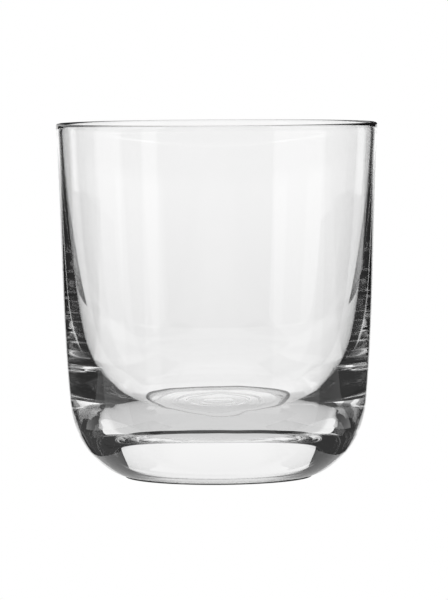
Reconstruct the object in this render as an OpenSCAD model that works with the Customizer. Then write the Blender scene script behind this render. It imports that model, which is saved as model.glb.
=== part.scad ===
// Whiskey tumbler: one body of clear glass, thin at the rim and heavy at the base.
// Millimetres, +Z up. The origin is the centre of the foot ring, on the surface that the glass stands on.
// The outline turns about Z. It is made of cubic curves, with an arc at the lip
// and flats at the foot and the floor.

/* [Overall size] */
// Outer diameter at the rim
rim_d = 85; // [80:0.5:92]
// Height from the foot ring to the top of the lip
height = 93.5; // [88:0.5:104]

/* [Outer side] */
// Outer diameter at the top of the heel, where the side starts to turn under
heel_d = 78.5; // [75:0.5:80]
// Height of the top of the heel
heel_z = 20.2; // [17:0.2:24]
// Outer diameter of the foot ring
foot_d = 48.2; // [44:0.2:52]

/* [Inside] */
// Thickness of the wall at the rim
rim_wall = 1.5; // [1.2:0.1:2.2]
// Inner diameter at the top of the bowl, where the wall starts to thicken quickly
bowl_d = 71; // [67:0.1:72]
// Height of the top of the bowl
bowl_z = 34.8; // [32:0.2:38]
// Height of the flat inner floor, which is the thickness of the base above the foot ring
floor_z = 13.3; // [12:0.1:16]

/* [Underside] */
// Width of the flat foot ring
foot_w = 2.6; // [1.5:0.1:4]
// Depth of the shallow hollow inside the foot ring
punt_depth = 1.7; // [0.8:0.1:2.4]

/* [Hidden] */

glass_colour = [0.86, 0.90, 0.90, 0.45];
side_steps = 14;
heel_steps = 16;
bowl_steps = 16;
corner_steps = 10;
lip_steps = 8;
punt_steps = 10;
turn_steps = 180;

rim_r = rim_d / 2;
heel_r = heel_d / 2;
foot_r = foot_d / 2;
bowl_r = bowl_d / 2;
lip_r = rim_wall / 2;
lip_z = height - lip_r;
hollow_r = foot_r - foot_w;

// Lean of the side, in millimetres inwards for each millimetre down
rim_lean = 0.06;
heel_lean = 0.09;
inner_rim_lean = 0.045;
bowl_lean = 0.22;

// How far each curve's handles reach
heel_drop = 0.76 * heel_z;
heel_reach = 2.9;
heel_rise = 0.3;
punt_reach = 0.6 * hollow_r;
punt_edge_r = 0.9 * hollow_r;
punt_edge_z = 0.9 * punt_depth;
wall_reach = (lip_z - bowl_z) / 5;

// The knee is where the slanting side of the bowl meets the tight corner of its floor
knee_slope = 0.98;
knee_inset = 10.1;
knee_lift = 2.55;
knee_r = bowl_r - knee_inset;
knee_z = floor_z + knee_lift;
knee_reach = 3.5;
bowl_reach = 0.6 * (bowl_z - knee_z);
corner_reach = 0.8 * knee_lift;

// The edge of the flat floor, where the corner ends
floor_edge_inset = 15.7;
floor_edge_r = bowl_r - floor_edge_inset;
floor_edge_reach = 1.2;

// A point on a cubic curve with end points a and d and handles b and c
function on_curve(a, b, c, d, t) =
    pow(1 - t, 3) * a + 3 * pow(1 - t, 2) * t * b + 3 * (1 - t) * t * t * c + pow(t, 3) * d;

// The curve's points after its first one, which the stretch before it has already given
function curve(a, b, c, d, steps) =
    [for (i = [1:steps]) on_curve(a, b, c, d, i / steps)];

// Half a turn round the lip, from the outer side over the top to the inner side
function lip_arc() =
    [for (i = [1:lip_steps])
        [rim_r - lip_r + lip_r * cos(180 * i / lip_steps), lip_z + lip_r * sin(180 * i / lip_steps)]];

// Each stretch of the outline, in order from the centre of the underside
function punt_curve() =
    curve([0, punt_depth], [punt_reach, punt_depth], [punt_edge_r, punt_edge_z], [hollow_r, 0], punt_steps);
function heel_curve() =
    curve([foot_r, 0], [foot_r + heel_reach, heel_rise],
          [heel_r - heel_lean * heel_drop, heel_z - heel_drop], [heel_r, heel_z], heel_steps);
function side_curve() =
    let (third = (lip_z - heel_z) / 3)
    curve([heel_r, heel_z], [heel_r + heel_lean * third, heel_z + third],
          [rim_r - rim_lean * third, lip_z - third], [rim_r, lip_z], side_steps);
function wall_curve() =
    let (third = (lip_z - bowl_z) / 3)
    curve([rim_r - rim_wall, lip_z], [rim_r - rim_wall - inner_rim_lean * third, lip_z - third],
          [bowl_r + bowl_lean * wall_reach, bowl_z + wall_reach], [bowl_r, bowl_z], side_steps);
function bowl_curve() =
    curve([bowl_r, bowl_z], [bowl_r - bowl_lean * bowl_reach, bowl_z - bowl_reach],
          [knee_r + knee_reach, knee_z + knee_slope * knee_reach], [knee_r, knee_z], bowl_steps);
function corner_curve() =
    curve([knee_r, knee_z], [knee_r - corner_reach / knee_slope, knee_z - corner_reach],
          [floor_edge_r + floor_edge_reach, floor_z], [floor_edge_r, floor_z], corner_steps);

function outline() =
    concat([[0, punt_depth]], punt_curve(), [[foot_r, 0]], heel_curve(), side_curve(),
           lip_arc(), wall_curve(), bowl_curve(), corner_curve(), [[0, floor_z]]);

module tumbler() {
    color(glass_colour)
        rotate_extrude($fn = turn_steps)
            polygon(outline());
}

tumbler();
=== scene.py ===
"""The looks of the whiskey tumbler: the glass, the studio that it reflects and bends, and the camera."""

import math

import bmesh
import bpy
from mathutils import Matrix, Vector, noise


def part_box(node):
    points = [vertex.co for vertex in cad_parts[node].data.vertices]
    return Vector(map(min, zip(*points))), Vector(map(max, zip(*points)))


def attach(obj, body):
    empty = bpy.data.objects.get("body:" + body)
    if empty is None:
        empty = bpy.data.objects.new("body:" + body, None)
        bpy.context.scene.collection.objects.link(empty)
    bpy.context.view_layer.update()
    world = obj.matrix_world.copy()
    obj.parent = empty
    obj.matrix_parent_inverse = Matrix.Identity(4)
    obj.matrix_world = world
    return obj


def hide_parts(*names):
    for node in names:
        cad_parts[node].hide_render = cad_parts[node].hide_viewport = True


MM = 0.001

# Driving sizes of the glass, in millimetres: the same as the CAD part's
RIM_WALL = 1.5
HEEL_D = 78.5
HEEL_Z = 20.2
FOOT_D = 48.2
FOOT_W = 2.6
PUNT_DEPTH = 1.7
BOWL_D = 71.0
BOWL_Z = 34.8
FLOOR_Z = 13.3

# Steps along the profile and round the glass
SIDE_STEPS = 48
HEEL_STEPS = 56
BOWL_STEPS = 56
CORNER_STEPS = 32
FLOOR_RINGS = 8
LIP_STEPS = 12
PUNT_STEPS = 72
FOOT_STEPS = 4
TURN_STEPS = 256

# Lean of the side, in millimetres inwards for each millimetre down
RIM_LEAN = 0.06
HEEL_LEAN = 0.09
INNER_RIM_LEAN = 0.045
BOWL_LEAN = 0.22

# Handles of the curve under the glass, as shares of the hollow's radius and depth
PUNT_REACH = 0.6
PUNT_EDGE = 0.9

# How far the handles of the heel's curve reach: out and up at the foot, and down at the side
HEEL_REACH = 2.9
HEEL_RISE = 0.3
HEEL_DROP = 0.76 * HEEL_Z

# The knee is where the slanting side of the bowl meets the tight corner of its floor
KNEE_SLOPE = 0.98
KNEE_INSET = 10.1
KNEE_LIFT = 2.55
KNEE_R = BOWL_D / 2 - KNEE_INSET
KNEE_Z = FLOOR_Z + KNEE_LIFT
KNEE_REACH = 3.5
BOWL_REACH = 0.6 * (BOWL_Z - KNEE_Z)
CORNER_REACH = 0.8 * KNEE_LIFT

# The edge of the flat floor, where the corner ends
FLOOR_EDGE_INSET = 15.7
FLOOR_EDGE_R = BOWL_D / 2 - FLOOR_EDGE_INSET
FLOOR_EDGE_REACH = 1.2

# Chill marks on the inside, in millimetres: where they fade out, how long they are round and up, and how
# deep. The rest says which noise they follow.
RIPPLE_TOP = 30.0
RIPPLE_FADE = 9.0
RIPPLE_ROUND = 9.0
RIPPLE_UP = 3.5
RIPPLE_DEPTH = 0.045
RIPPLE_SEED = 40.0
RIPPLE_ROUGHNESS = 1.0
RIPPLE_LACUNARITY = 2.0
RIPPLE_OCTAVES = 2

# Rings that the mould leaves on the underside: radius, width and height, in millimetres
MOULD_RINGS = ((17.3, 1.3, 0.3), (13.2, 1.2, -0.4), (8.6, 0.9, 0.32), (4.6, 0.7, -0.25), (1.6, 0.6, 0.16))

# A radius below this, in millimetres, is on the axis
ON_AXIS = 1e-6

GLASS_IOR = 1.52

# Haze from washing: its grain, per metre, the noise where it starts and is full, and how rough it gets
HAZE_SCALE = 45
HAZE_DETAIL = 3
HAZE_PATCHES = (0.45, 0.75)
HAZE_ROUGHNESS = 0.012

# Stipple of the mould on the underside, in millimetres: from and to which radius, the heights between
# which it comes in from above, and how deep. Its grain is per metre.
STIPPLE_RADII = (10.0, 19.0)
STIPPLE_TOP = (PUNT_DEPTH + 1, PUNT_DEPTH + 0.5)
STIPPLE_DEPTH = 0.05
STIPPLE_SCALE = 1300
STIPPLE_DETAIL = 2


def on_curve(a, b, c, d, t):
    """A point of the cubic curve that leaves a towards b and comes into d from c."""
    s = 1 - t
    weights = (s**3, 3 * s * s * t, 3 * s * t * t, t**3)
    return tuple(sum(w * p[i] for w, p in zip(weights, (a, b, c, d))) for i in (0, 1))


def curve(a, b, c, d, steps):
    """The points of that curve after its first."""
    return [on_curve(a, b, c, d, i / steps) for i in range(1, steps + 1)]


# ---- the frame ----

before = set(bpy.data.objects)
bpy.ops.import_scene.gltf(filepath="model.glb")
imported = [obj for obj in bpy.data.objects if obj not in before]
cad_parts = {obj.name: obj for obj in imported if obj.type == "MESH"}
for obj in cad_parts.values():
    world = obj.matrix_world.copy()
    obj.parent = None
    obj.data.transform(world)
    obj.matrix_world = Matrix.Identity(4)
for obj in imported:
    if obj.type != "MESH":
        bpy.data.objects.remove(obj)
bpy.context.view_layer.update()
node_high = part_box("tumbler")[1]
HEIGHT = node_high.z / MM
RIM_R = node_high.x / MM


# ---- the glass ----

HEEL_R = HEEL_D / 2
FOOT_R = FOOT_D / 2
BOWL_R = BOWL_D / 2
LIP_R = RIM_WALL / 2
LIP_Z = HEIGHT - LIP_R
HOLLOW_R = FOOT_R - FOOT_W


def ring_relief(radius):
    """Height of the mould's rings there."""
    bumps = [height * math.exp(-((radius - middle) / width) ** 2) for middle, width, height in MOULD_RINGS]
    return sum(bumps)


def underside():
    """From the middle of the shallow punt down to the flat foot ring and across it."""
    top = (0, PUNT_DEPTH)
    edge_handle = (PUNT_EDGE * HOLLOW_R, PUNT_EDGE * PUNT_DEPTH)
    punt = curve(top, (PUNT_REACH * HOLLOW_R, PUNT_DEPTH), edge_handle, (HOLLOW_R, 0), PUNT_STEPS)
    punt = [(radius, z + ring_relief(radius) * z / PUNT_DEPTH) for radius, z in punt]
    ring = [(HOLLOW_R + FOOT_W * i / FOOT_STEPS, 0) for i in range(1, FOOT_STEPS + 1)]
    return [top] + punt + ring


def heel():
    """From the foot's edge round the heel to the widest part of the base."""
    return curve((FOOT_R, 0), (FOOT_R + HEEL_REACH, HEEL_RISE),
                 (HEEL_R - HEEL_LEAN * HEEL_DROP, HEEL_Z - HEEL_DROP), (HEEL_R, HEEL_Z), HEEL_STEPS)


def side():
    """From the heel up the slightly flared outer wall to the lip."""
    third = (LIP_Z - HEEL_Z) / 3
    return curve((HEEL_R, HEEL_Z), (HEEL_R + HEEL_LEAN * third, HEEL_Z + third),
                 (RIM_R - RIM_LEAN * third, LIP_Z - third), (RIM_R, LIP_Z), SIDE_STEPS)


def lip():
    """The fire-polished lip, half a turn from the outer wall to the inner one."""
    turns = [math.pi * i / LIP_STEPS for i in range(1, LIP_STEPS + 1)]
    return [(RIM_R - LIP_R + LIP_R * math.cos(a), LIP_Z + LIP_R * math.sin(a)) for a in turns]


def inner_wall():
    """From the lip down the inner wall to the top of the bowl."""
    length = LIP_Z - BOWL_Z
    top_r = RIM_R - RIM_WALL
    return curve((top_r, LIP_Z), (top_r - INNER_RIM_LEAN * length / 3, LIP_Z - length / 3),
                 (BOWL_R + BOWL_LEAN * length / 5, BOWL_Z + length / 5), (BOWL_R, BOWL_Z), SIDE_STEPS)


def bowl():
    """From the inner wall down the slanting side and round a tight corner to the middle of the floor."""
    slant = curve((BOWL_R, BOWL_Z), (BOWL_R - BOWL_LEAN * BOWL_REACH, BOWL_Z - BOWL_REACH),
                  (KNEE_R + KNEE_REACH, KNEE_Z + KNEE_SLOPE * KNEE_REACH), (KNEE_R, KNEE_Z), BOWL_STEPS)
    corner = curve((KNEE_R, KNEE_Z), (KNEE_R - CORNER_REACH / KNEE_SLOPE, KNEE_Z - CORNER_REACH),
                   (FLOOR_EDGE_R + FLOOR_EDGE_REACH, FLOOR_Z), (FLOOR_EDGE_R, FLOOR_Z), CORNER_STEPS)
    flat = [(FLOOR_EDGE_R * (1 - i / FLOOR_RINGS), FLOOR_Z) for i in range(1, FLOOR_RINGS + 1)]
    return slant + corner + flat


def ripple(radius, z, a):
    """How far the inside stands out of true there: chill marks low down and none above."""
    low = max(0.0, min(1.0, (RIPPLE_TOP - z) / RIPPLE_FADE))
    x = radius * math.cos(a) / RIPPLE_ROUND
    y = radius * math.sin(a) / RIPPLE_ROUND
    place = Vector((x, y, z / RIPPLE_UP + RIPPLE_SEED))
    return low * RIPPLE_DEPTH * noise.fractal(place, RIPPLE_ROUGHNESS, RIPPLE_LACUNARITY, RIPPLE_OCTAVES)


def on_circle(radius, i, steps, z):
    """Point i of that many round a circle, in metres, from a radius and a height in millimetres."""
    a = 2 * math.pi * i / steps
    return (radius * math.cos(a) * MM, radius * math.sin(a) * MM, z * MM)


def add_object(name, verts, faces):
    """A new object from those points and faces."""
    mesh = bpy.data.meshes.new(name)
    mesh.from_pydata(verts, [], faces)
    obj = bpy.data.objects.new(name, mesh)
    bpy.context.scene.collection.objects.link(obj)
    return obj


def lathe(name, outside, inside):
    """A closed solid of revolution from (radius, height) points in millimetres, from axis to axis."""
    verts = []
    faces = []
    rings = []
    for row, (radius, z) in enumerate(outside + inside):
        if radius < ON_AXIS:
            rings.append([len(verts)] * TURN_STEPS)
            verts.append((0, 0, z * MM))
            continue
        rings.append(list(range(len(verts), len(verts) + TURN_STEPS)))
        for i in range(TURN_STEPS):
            rippled = ripple(radius, z, 2 * math.pi * i / TURN_STEPS) if row >= len(outside) else 0
            verts.append(on_circle(radius + rippled, i, TURN_STEPS, z))
    for lower, upper in zip(rings, rings[1:]):
        for i in range(TURN_STEPS):
            j = (i + 1) % TURN_STEPS
            faces.append(tuple(dict.fromkeys((lower[i], lower[j], upper[j], upper[i]))))
    obj = add_object(name, verts, faces)
    shape = bmesh.new()
    shape.from_mesh(obj.data)
    bmesh.ops.recalc_face_normals(shape, faces=shape.faces)
    shape.to_mesh(obj.data)
    shape.free()
    for polygon in obj.data.polygons:
        polygon.use_smooth = True
    return obj


class NodeMath:
    """Sums over sockets of one node tree, each as a Math or Map Range node."""

    def __init__(self, tree):
        self.tree = tree

    def put(self, node, values):
        """Gives the node those values, each a number or a socket, and returns its result."""
        for socket, value in zip(node.inputs, values):
            if isinstance(value, (int, float)):
                socket.default_value = value
            else:
                self.tree.links.new(value, socket)
        return node.outputs[0]

    def do(self, operation, *values):
        """One sum of a Math node."""
        node = self.tree.nodes.new("ShaderNodeMath")
        node.operation = operation
        return self.put(node, values)

    def step(self, value, low, high, start=0.0, end=1.0):
        """Goes smoothly from start to end as value goes from low to high, or down from it."""
        node = self.tree.nodes.new("ShaderNodeMapRange")
        node.interpolation_type = "SMOOTHSTEP"
        return self.put(node, (value, low, high, start, end))

    def split(self, vector):
        """The x, y and z of a vector."""
        node = self.tree.nodes.new("ShaderNodeSeparateXYZ")
        self.tree.links.new(vector, node.inputs[0])
        return node.outputs

    def noise(self, place, scale, detail):
        """Soft random values round 0.5 over that place."""
        node = self.tree.nodes.new("ShaderNodeTexNoise")
        node.inputs["Scale"].default_value = scale
        node.inputs["Detail"].default_value = detail
        self.tree.links.new(place, node.inputs["Vector"])
        return node.outputs[0]

    def band(self, value, low, high):
        """1 where value lies between low and high, 0 elsewhere, with a ramp 2 wide at each edge."""
        return self.do("MULTIPLY", self.step(value, low - 1, low + 1), self.step(value, high + 1, high - 1))

    def mix(self, share, a, b):
        """a where share is 0, b where it is 1."""
        return self.do("MULTIPLY_ADD", share, self.do("SUBTRACT", b, a), a)


def clear_glass():
    """Clear fire-polished glass with a faint haze from washing, and the mould's stipple underneath."""
    material = bpy.data.materials.new("clear_glass")
    material.use_nodes = True
    tree = material.node_tree
    m = NodeMath(tree)
    shader = tree.nodes["Principled BSDF"]
    shader.inputs["Base Color"].default_value = (1, 1, 1, 1)
    shader.inputs["Transmission Weight"].default_value = 1
    shader.inputs["IOR"].default_value = GLASS_IOR
    place = tree.nodes.new("ShaderNodeTexCoord").outputs["Object"]
    haze = m.step(m.noise(place, HAZE_SCALE, HAZE_DETAIL), *HAZE_PATCHES, 0, HAZE_ROUGHNESS)
    tree.links.new(haze, shader.inputs["Roughness"])

    x, y, z = (m.do("DIVIDE", value, MM) for value in m.split(place))
    radius = m.do("SQRT", m.do("ADD", m.do("MULTIPLY", x, x), m.do("MULTIPLY", y, y)))
    stippled = m.do("MULTIPLY", m.band(radius, *STIPPLE_RADII), m.step(z, *STIPPLE_TOP))
    bump = tree.nodes.new("ShaderNodeBump")
    bump.inputs["Strength"].default_value = 1
    bump.inputs["Distance"].default_value = STIPPLE_DEPTH * MM
    grain = m.noise(place, STIPPLE_SCALE, STIPPLE_DETAIL)
    tree.links.new(m.do("MULTIPLY", stippled, grain), bump.inputs["Height"])
    tree.links.new(bump.outputs[0], shader.inputs["Normal"])
    return material


glass = lathe("tumbler_glass", underside() + heel() + side() + lip(), inner_wall() + bowl())
glass.data.materials.append(clear_glass())
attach(glass, "root")
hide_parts("tumbler")


# ---- the studio ----

# The set that the glass sees and the camera doesn't: a white sheet under and behind the glass, a white
# board where it ends, and black card beside both. Each row is a distance behind the middle of the
# glass, a height, the half width of the white, and how far the black goes on beyond it to the left and
# to the right, in metres.
SET_ROWS = (
    (-0.600, 0.000, 0.080, 0.001, 0.001),
    (-0.061, 0.000, 0.080, 0.001, 0.001),
    (-0.060, 0.000, 0.030, 0.024, 0.024),
    (0.020, 0.000, 0.040, 0.024, 0.024),
    (0.030, 0.000, 0.047, 0.400, 0.400),
    (0.080, 0.000, 0.075, 0.400, 0.400),
    (0.130, 0.000, 0.081, 0.400, 0.400),
    (0.184, 0.000, 0.087, 0.400, 0.400),
    (0.184, 0.035, 0.092, 0.167, 0.137),
    (0.184, 0.050, 0.100, 0.157, 0.127),
    (0.184, 0.065, 0.108, 0.157, 0.127),
    (0.184, 0.098, 0.118, 0.136, 0.106),
)
BOARD_Y, BOARD_TOP = SET_ROWS[-1][:2]
TABLE_END = BOARD_Y - 0.0001
CARD_TOP = 0.120
SET_DROP = 0.0004

# How much light the set gives. The white of the table is duller in front, a painted shade under and in
# front of the glass, and that of the board near its foot, a painted shade in the corner where it meets the
# table.
# TABLE_EDGE is where the table's light changes, behind the glass's middle, and BOARD_RISE is where the
# board's does, as heights, in metres.
EVEN_WHITE = 0.91
# The light of the black card, which the painted shadow under the foot shares
CARD_AND_SHADOW_BLACK = 0.03
TABLE_FRONT_SHADE = 0.64
TABLE_EDGE = (0.004, 0.012)
BOARD_LIGHT = (0.87, 1.0)
BOARD_RISE = (-0.01, 0.08)

# Through the thin walls of the glass the table and the room are an even white, from any side, so only
# what its base and edges bend shows the black card. How far the light has to come for that, in metres,
# through both walls and through one. Nothing is as far off as NEVER.
BOTH_WALLS_REACH = 0.008
ONE_WALL_REACH = 0.13
NEVER = 1e9

# The ring of painted shadow under the foot, a dark ring laid on the table, in millimetres
SHADOW_INNER = FOOT_R - FOOT_W - 0.6
SHADOW_OUTER = FOOT_R + 0.6

# The white floor that the camera sees, in metres
FLOOR_RADIUS = 3.0
FLOOR_DROP = 0.001
FLOOR_STEPS = 96

# The room that the glass sees, by direction. A turn is in degrees from +Y towards +X, and a rise in
# degrees above the horizon. A light of 1 is full white. A pair of angles is a soft edge, from where it
# starts to where it ends.
WALL_LEFT = 0.035
WALL_RIGHT = 0.05
WALL_RIGHT_BACK = 0.025
WALL_RIGHT_START = (50, 64)
WALL_RIGHT_END = (124, 112)
SOFT_BOX = 0.87
SOFT_BOX_LEFT = (-60, -52)
SOFT_BOX_RIGHT = (-4, -12)
SOFT_BOX_TOP = (48, 42)
OVERHEAD_AHEAD = 0.6
OVERHEAD_BESIDE = 0.03
OVERHEAD_SIDE = (54, 68)
OVERHEAD_START = (27, 36)
TOP = 0.8
TOP_START = (52, 68)
LOW_AHEAD = 0.85
LOW_BESIDE = 0.5
LOW_SIDE = (40, 70)
LOW_START = (0, -3.5)

# Lamps low beside the camera, whose upright reflections the outer wall shows: from and to which turn
LOW_LAMPS = ((-136, -124), (-106, -81), (95, 138))
LOW_LAMP_LIGHT = 1.1

# The camera: its place in metres, its pitch and roll in radians, its lens and sensor in millimetres
CAMERA_Y = -1.175
CAMERA_Z = 0.11685
CAMERA_PITCH = 0.05966
CAMERA_ROLL = 0.0062
CAMERA_LENS = 266.6
CAMERA_SENSOR = 36
CAMERA_SHIFT = (0.01055, -0.001)


def emitter(name, strength):
    """A material that only gives white light, with its Emission node."""
    material = bpy.data.materials.new(name)
    material.use_nodes = True
    nodes = material.node_tree.nodes
    nodes.clear()
    light = nodes.new("ShaderNodeEmission")
    light.inputs["Color"].default_value = (1, 1, 1, 1)
    light.inputs["Strength"].default_value = strength
    output = nodes.new("ShaderNodeOutputMaterial")
    material.node_tree.links.new(light.outputs[0], output.inputs["Surface"])
    return material, light


def through_walls(m, both_walls, one_wall):
    """1 for light that comes straight through both walls or one, from further off than that, else 0."""
    path = m.tree.nodes.new("ShaderNodeLightPath").outputs
    share = 0
    for surfaces, distance in ((4, both_walls), (2, one_wall)):
        crossed = m.do("COMPARE", path["Transmission Depth"], surfaces, 0.5)
        far = m.do("GREATER_THAN", path["Ray Length"], distance)
        share = m.do("MAXIMUM", share, m.do("MULTIPLY", crossed, far))
    straight = m.do("LESS_THAN", path["Glossy Depth"], 0.5)
    return m.do("MULTIPLY", share, straight)


def white_card():
    """The white of the set."""
    material, light = emitter("white_card", 1)
    m = NodeMath(material.node_tree)
    place = m.split(m.tree.nodes.new("ShaderNodeNewGeometry").outputs["Position"])
    # Painted shade: the table duller under and in front of the glass, and the board duller near its foot
    on_table = m.step(place["Y"], *TABLE_EDGE, TABLE_FRONT_SHADE, EVEN_WHITE)
    on_table = m.mix(through_walls(m, BOTH_WALLS_REACH, ONE_WALL_REACH), on_table, EVEN_WHITE)
    on_board = m.step(place["Z"], *BOARD_RISE, *BOARD_LIGHT)
    strength = m.mix(m.do("GREATER_THAN", place["Y"], TABLE_END), on_table, on_board)
    m.tree.links.new(strength, light.inputs["Strength"])
    return material


def black_card():
    """The black of the set. Through both walls it stays black only on the board."""
    material, light = emitter("black_card", 1)
    m = NodeMath(material.node_tree)
    place = m.split(m.tree.nodes.new("ShaderNodeNewGeometry").outputs["Position"])
    on_board = through_walls(m, NEVER, ONE_WALL_REACH)
    on_table = through_walls(m, BOTH_WALLS_REACH, ONE_WALL_REACH)
    evened = m.mix(m.do("LESS_THAN", place["Y"], TABLE_END), on_board, on_table)
    m.tree.links.new(m.mix(evened, CARD_AND_SHADOW_BLACK, EVEN_WHITE), light.inputs["Strength"])
    return material


def stage_sheet(name, rows, material):
    """A sheet through rows of (y, z, x on the left, x on the right), unseen by the camera."""
    verts = [(x, y, z - SET_DROP) for y, z, left, right in rows for x in (left, right)]
    faces = [(2 * i, 2 * i + 1, 2 * i + 3, 2 * i + 2) for i in range(len(rows) - 1)]
    obj = add_object(name, verts, faces)
    obj.data.materials.append(material)
    obj.visible_camera = False


def the_set():
    """The white sheet and board, and the black card on both sides and above."""
    white = white_card()
    black = black_card()
    stage_sheet("white_set", [(y, z, -half, half) for y, z, half, left, right in SET_ROWS], white)
    stage_sheet("black_left", [(y, z, -half - left, -half) for y, z, half, left, right in SET_ROWS], black)
    stage_sheet("black_right", [(y, z, half, half + right) for y, z, half, left, right in SET_ROWS], black)
    half, left, right = SET_ROWS[-1][2:]
    stage_sheet("black_top_left", [(BOARD_Y, z, -half - left, -half) for z in (BOARD_TOP, CARD_TOP)], black)
    stage_sheet("black_top_right", [(BOARD_Y, z, half, half + right) for z in (BOARD_TOP, CARD_TOP)], black)


def contact_shadow():
    """Painted shadow where the foot meets the table: a dark ring a little wider than the foot ring on both
    sides.
    """
    z = -0.5 * SET_DROP / MM
    edges = (SHADOW_INNER, SHADOW_OUTER)
    verts = [on_circle(radius, i, TURN_STEPS, z) for i in range(TURN_STEPS) for radius in edges]
    count = len(verts)
    faces = [(i, i + 1, (i + 3) % count, (i + 2) % count) for i in range(0, count, 2)]
    obj = add_object("contact_shadow", verts, faces)
    obj.data.materials.append(emitter("painted_contact_shadow", CARD_AND_SHADOW_BLACK)[0])


def floor():
    """The plain white floor, which only the camera sees."""
    verts = [on_circle(FLOOR_RADIUS / MM, i, FLOOR_STEPS, -FLOOR_DROP / MM) for i in range(FLOOR_STEPS)]
    obj = add_object("floor", verts, [tuple(range(FLOOR_STEPS))])
    obj.data.materials.append(emitter("floor_white", 1)[0])
    obj.visible_transmission = False
    obj.visible_glossy = False
    obj.visible_diffuse = False


def studio_sky():
    """What the glass sees round it, by direction. The camera sees plain white."""
    world = bpy.data.worlds.new("studio")
    bpy.context.scene.world = world
    world.use_nodes = True
    tree = world.node_tree
    tree.nodes.clear()
    m = NodeMath(tree)
    x, y, z = m.split(tree.nodes.new("ShaderNodeTexCoord").outputs["Generated"])
    degrees = 180 / math.pi
    turn = m.do("MULTIPLY", m.do("ARCTAN2", x, y), degrees)
    side_angle = m.do("ABSOLUTE", turn)
    rise = m.do("MULTIPLY", m.do("ARCSINE", z), degrees)

    # The walls of the room, with a tall soft box ahead to the left
    right_wall = m.mix(m.step(side_angle, *WALL_RIGHT_END), WALL_RIGHT_BACK, WALL_RIGHT)
    light = m.mix(m.step(turn, *WALL_RIGHT_START), WALL_LEFT, right_wall)
    soft_box = m.do("MULTIPLY", m.step(turn, *SOFT_BOX_LEFT), m.step(turn, *SOFT_BOX_RIGHT))
    light = m.mix(m.do("MULTIPLY", soft_box, m.step(rise, *SOFT_BOX_TOP)), light, SOFT_BOX)

    # Overhead, brighter ahead than at the sides, and brightest straight up
    overhead = m.step(side_angle, *OVERHEAD_SIDE, OVERHEAD_AHEAD, OVERHEAD_BESIDE)
    light = m.mix(m.step(rise, *OVERHEAD_START), light, m.do("MAXIMUM", light, overhead))
    light = m.mix(m.step(rise, *TOP_START), light, TOP)

    # Below the horizon, the table further off and the low lamps
    low = m.step(side_angle, *LOW_SIDE, LOW_AHEAD, LOW_BESIDE)
    for start, end in LOW_LAMPS:
        low = m.mix(m.band(turn, start, end), low, LOW_LAMP_LIGHT)
    light = m.mix(m.step(rise, *LOW_START), light, low)

    light = m.mix(through_walls(m, 0, NEVER), light, EVEN_WHITE)
    seen = tree.nodes.new("ShaderNodeLightPath").outputs["Is Camera Ray"]
    light = m.mix(seen, light, 1)
    background = tree.nodes.new("ShaderNodeBackground")
    background.inputs["Color"].default_value = (1, 1, 1, 1)
    tree.links.new(light, background.inputs["Strength"])
    output = tree.nodes.new("ShaderNodeOutputWorld")
    tree.links.new(background.outputs[0], output.inputs["Surface"])


def camera():
    """A long lens a little above the rim, tilted down a little."""
    data = bpy.data.cameras.new("camera")
    data.lens = CAMERA_LENS
    data.sensor_width = CAMERA_SENSOR
    data.shift_x, data.shift_y = CAMERA_SHIFT
    obj = bpy.data.objects.new("camera", data)
    bpy.context.scene.collection.objects.link(obj)
    place = Matrix.Translation((0, CAMERA_Y, CAMERA_Z))
    tilt = Matrix.Rotation(math.pi / 2 - CAMERA_PITCH, 4, "X")
    obj.matrix_world = place @ tilt @ Matrix.Rotation(-CAMERA_ROLL, 4, "Z")
    bpy.context.scene.camera = obj


the_set()
contact_shadow()
floor()
studio_sky()
camera()

# Glass needs many bends of light before it reaches the studio
BOUNCES = 24
scene = bpy.context.scene
scene.view_settings.view_transform = "Standard"
scene.cycles.max_bounces = BOUNCES
scene.cycles.transmission_bounces = BOUNCES
scene.cycles.glossy_bounces = BOUNCES
